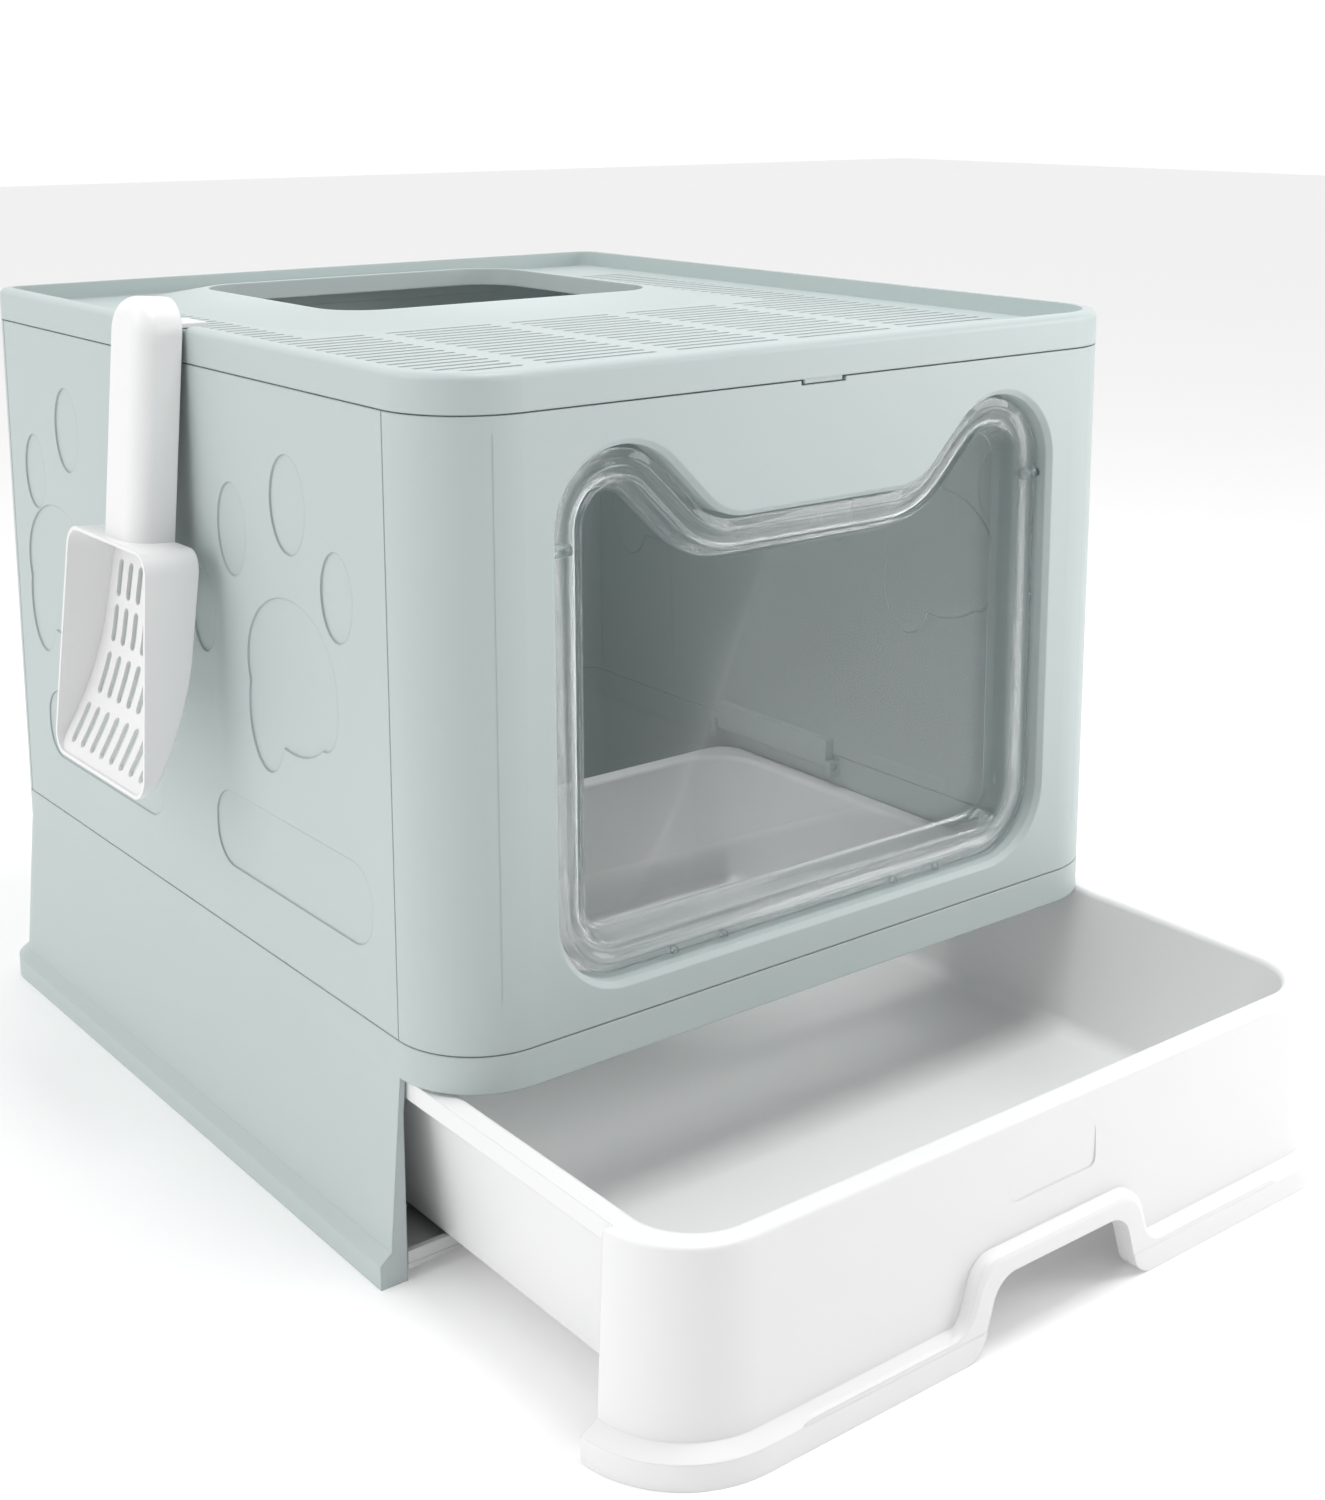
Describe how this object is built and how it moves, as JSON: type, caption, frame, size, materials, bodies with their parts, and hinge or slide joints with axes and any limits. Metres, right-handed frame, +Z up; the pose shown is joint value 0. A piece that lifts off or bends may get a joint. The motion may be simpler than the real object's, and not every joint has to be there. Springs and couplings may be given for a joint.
{
  "type": "drawer litter box",
  "caption": "Enclosed fold-down litter box with a pull-out drawer pan, top entry lid, clear swinging flap in an ear-shaped doorway and a hanging slotted scoop",
  "frame": {"origin": "on the floor at the middle of the housing footprint, at the foot under the middle of the base floor", "axes": "+Z up, the doorway and the drawer front face -Y, +X to the right as one faces the doorway, so the scoop hangs on the -X side"},
  "size_m": [0.4579, 0.6208, 0.4065],
  "materials": {
    "body_plastic": "fine satin moulded plastic, pale sage green",
    "floor_plastic": "satin moulded plastic, light grey",
    "white_plastic": "smooth moulded plastic, white",
    "clear_plastic": "clear polished plastic"
  },
  "bodies": {
    "base": {"base_frame": "body_plastic", "base_floor": "floor_plastic", "front_panel": "body_plastic", "back_panel": "body_plastic"},
    "drawer": {"drawer_pan": "white_plastic"},
    "door": {"flap_door": "clear_plastic"},
    "lid": {"lid": "body_plastic"},
    "scoop": {"scoop": "white_plastic"},
    "left_side": {"left_panel": "body_plastic"},
    "right_side": {"right_panel": "body_plastic"}
  },
  "joints": [
    {"name": "drawer_slide", "type": "slide", "parent": "base", "child": "drawer", "axis": [0, -1, 0], "range_m": [-0.143, 0.12]},
    {"name": "door_swing", "type": "hinge", "parent": "base", "child": "door", "pos_m": [0, -0.2206, 0.3165], "axis": [1, 0, 0], "range_deg": [-80, 80]},
    {"name": "lid_lift", "type": "slide", "parent": "base", "child": "lid", "axis": [0, 0, 1], "range_m": [0, 0.3]},
    {"name": "scoop_lift", "type": "slide", "parent": "lid", "child": "scoop", "axis": [0, 0, 1], "range_m": [0, 0.2]},
    {"name": "left_fold", "type": "hinge", "parent": "base", "child": "left_side", "pos_m": [-0.1935, 0.031, 0.1045], "axis": [0, 1, 0], "range_deg": [0, 90]},
    {"name": "right_fold", "type": "hinge", "parent": "base", "child": "right_side", "pos_m": [0.1935, 0.031, 0.1045], "axis": [0, -1, 0], "range_deg": [0, 80]}
  ]
}
